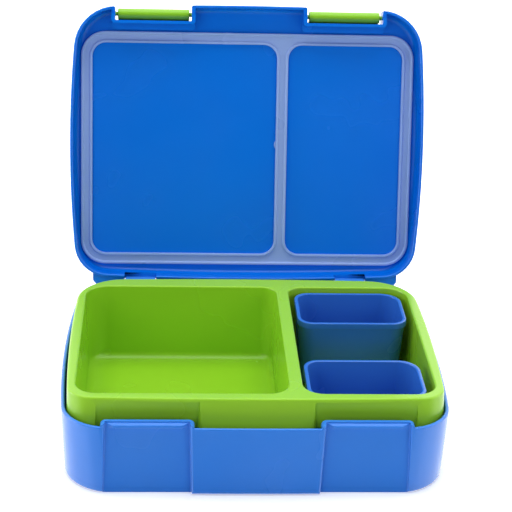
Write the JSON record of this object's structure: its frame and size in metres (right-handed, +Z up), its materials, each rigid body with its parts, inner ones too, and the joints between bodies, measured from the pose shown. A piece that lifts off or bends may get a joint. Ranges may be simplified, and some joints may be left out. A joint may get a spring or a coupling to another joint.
{
  "type": "lunch box",
  "caption": "Lunch box with a hinged sealed lid, two front latches, a lift-out divided tray and two loose cups, shown open.",
  "frame": {"origin": "centre of the underside of the base, on the surface it stands on", "axes": "+Z up, +X to the user's right, +Y from the latches at the front towards the hinge at the rear"},
  "size_m": [0.219, 0.2625, 0.2137],
  "materials": {
    "blue_plastic": "satin polypropylene",
    "green_plastic": "satin polypropylene",
    "cup_plastic": "satin polypropylene",
    "silicone": "translucent silicone",
    "pin_steel": "drawn wire"
  },
  "bodies": {
    "base": {"base": "blue_plastic", "hinge_pin_left": "pin_steel", "hinge_pin_right": "pin_steel"},
    "lid": {"lid": "blue_plastic", "lid_seal": "silicone"},
    "latch_left": {"latch_left": "green_plastic"},
    "latch_right": {"latch_right": "green_plastic"},
    "tray": {"tray": "green_plastic"},
    "cup_rear": {"cup_rear": "cup_plastic"},
    "cup_front": {"cup_front": "cup_plastic"}
  },
  "joints": [
    {"name": "lid_hinge", "type": "hinge", "parent": "base", "child": "lid", "pos_m": [0, 0.0888, 0.045], "axis": [-1, 0, 0], "range_deg": [-104.7, 0]},
    {"name": "latch_left_hinge", "type": "hinge", "parent": "lid", "child": "latch_left", "pos_m": [-0.0587, 0.1366, 0.20553], "axis": [-1, 0, 0], "range_deg": [-180, 0]},
    {"name": "latch_right_hinge", "type": "hinge", "parent": "lid", "child": "latch_right", "pos_m": [0.0587, 0.1366, 0.20553], "axis": [-1, 0, 0], "range_deg": [-180, 0]},
    {"name": "tray_lift", "type": "slide", "parent": "base", "child": "tray", "axis": [0, 0, 1], "range_m": [0, 0.06]},
    {"name": "cup_rear_lift", "type": "slide", "parent": "tray", "child": "cup_rear", "axis": [0, 0, 1], "range_m": [0, 0.055]},
    {"name": "cup_front_lift", "type": "slide", "parent": "tray", "child": "cup_front", "axis": [0, 0, 1], "range_m": [0, 0.055]}
  ]
}
